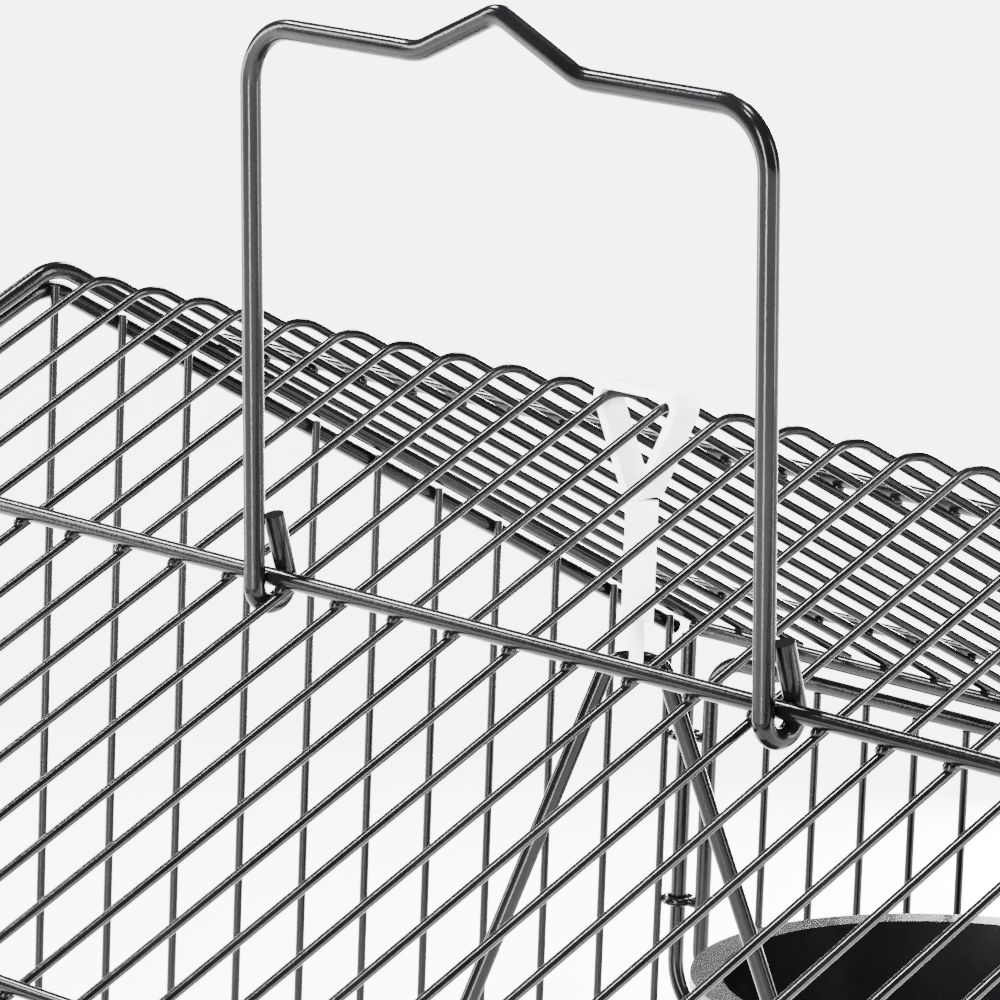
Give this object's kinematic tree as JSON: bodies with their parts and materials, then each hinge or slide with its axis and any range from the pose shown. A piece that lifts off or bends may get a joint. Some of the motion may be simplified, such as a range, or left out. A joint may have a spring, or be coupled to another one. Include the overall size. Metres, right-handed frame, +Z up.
{
  "type": "bird cage",
  "caption": "Wire bird cage with a gable roof, swinging carry handle, lifting front door, swinging feeding doors, hanging swing, perches, bowls and a pull-out tray in a plastic base.",
  "frame": {"origin": "centre of the base's footprint, on the surface that the base stands on", "axes": "+X along the roof ridge, +Y from the front wall to the back wall, +Z up"},
  "size_m": [0.3802, 0.3359, 0.4791],
  "materials": {
    "black_wire": "gloss black enamel on drawn steel wire",
    "base_plastic": "satin black moulded plastic",
    "tray_plastic": "satin black moulded plastic",
    "bowl_plastic": "gloss black moulded plastic",
    "cap_plastic": "satin black moulded plastic",
    "perch_wood": "plain turned beech",
    "strap_plastic": "white soft plastic"
  },
  "bodies": {
    "cage": {"back_roof_bar": "black_wire", "back_wires": "black_wire", "base_tub": "base_plastic", "bottom_rail": "black_wire", "bowl_ring_left": "black_wire", "bowl_ring_right": "black_wire", "door_guide_left": "black_wire", "door_guide_right": "black_wire", "eave_rail_back": "black_wire", "eave_rail_front": "black_wire", "end_wires_left": "black_wire", "end_wires_right": "black_wire", "feeding_opening_left": "black_wire", "feeding_opening_right": "black_wire", "front_wires": "black_wire", "gable_frame_left": "black_wire", "gable_frame_right": "black_wire", "handle_bar": "black_wire", "lintel_rail": "black_wire", "lower_roof_bars": "black_wire", "perch_caps": "cap_plastic", "perch_left": "perch_wood", "perch_right": "perch_wood", "roof_end_bow_left": "black_wire", "roof_end_bow_right": "black_wire", "roof_wires": "black_wire", "sill_rail": "black_wire", "swing_strap": "strap_plastic", "tray_runners": "base_plastic"},
    "handle": {"handle": "black_wire"},
    "front_door": {"front_door_frame": "black_wire", "front_door_wires": "black_wire", "front_door_cross_wires": "black_wire", "front_door_pull": "black_wire"},
    "feeding_door_left": {"feeding_door_left": "black_wire", "feeding_door_wires_left": "black_wire"},
    "feeding_door_right": {"feeding_door_right": "black_wire", "feeding_door_wires_right": "black_wire"},
    "tray": {"tray": "tray_plastic"},
    "bowl_left": {"bowl_left": "bowl_plastic"},
    "bowl_right": {"bowl_right": "bowl_plastic"},
    "swing": {"swing_wire": "black_wire", "swing_perch": "perch_wood"},
    "base_clip_left": {"base_clip_left": "cap_plastic"},
    "base_clip_right": {"base_clip_right": "cap_plastic"}
  },
  "joints": [
    {"name": "handle_swing", "type": "hinge", "parent": "cage", "child": "handle", "pos_m": [0, -0.05656, 0.38664], "axis": [1, 0, 0], "range_deg": [-79, 109]},
    {"name": "front_door_lift", "type": "slide", "parent": "cage", "child": "front_door", "axis": [0, 0, 1], "range_m": [0, 0.1]},
    {"name": "feeding_door_left_hinge", "type": "hinge", "parent": "cage", "child": "feeding_door_left", "pos_m": [-0.1746, 0.155, 0.295], "axis": [0, 0, 1], "range_deg": [0, 110]},
    {"name": "feeding_door_right_hinge", "type": "hinge", "parent": "cage", "child": "feeding_door_right", "pos_m": [0.1746, 0.155, 0.295], "axis": [0, 0, -1], "range_deg": [0, 110]},
    {"name": "tray_slide", "type": "slide", "parent": "cage", "child": "tray", "axis": [0, -1, 0], "range_m": [0, 0.26]},
    {"name": "bowl_left_lift", "type": "slide", "parent": "cage", "child": "bowl_left", "axis": [0, 0, 1], "range_m": [0, 0.022]},
    {"name": "bowl_right_lift", "type": "slide", "parent": "cage", "child": "bowl_right", "axis": [0, 0, 1], "range_m": [0, 0.022]},
    {"name": "swing_pivot", "type": "hinge", "parent": "cage", "child": "swing", "pos_m": [-0.03125, 0, 0.37084], "axis": [0.6858, 0.7278, 0], "range_deg": [-30, 14]},
    {"name": "base_clip_left_hinge", "type": "hinge", "parent": "cage", "child": "base_clip_left", "pos_m": [-0.18607, 0.0075, 0.03], "axis": [0, -1, 0], "range_deg": [0, 100]},
    {"name": "base_clip_right_hinge", "type": "hinge", "parent": "cage", "child": "base_clip_right", "pos_m": [0.18607, 0.0075, 0.03], "axis": [0, 1, 0], "range_deg": [0, 100]}
  ]
}
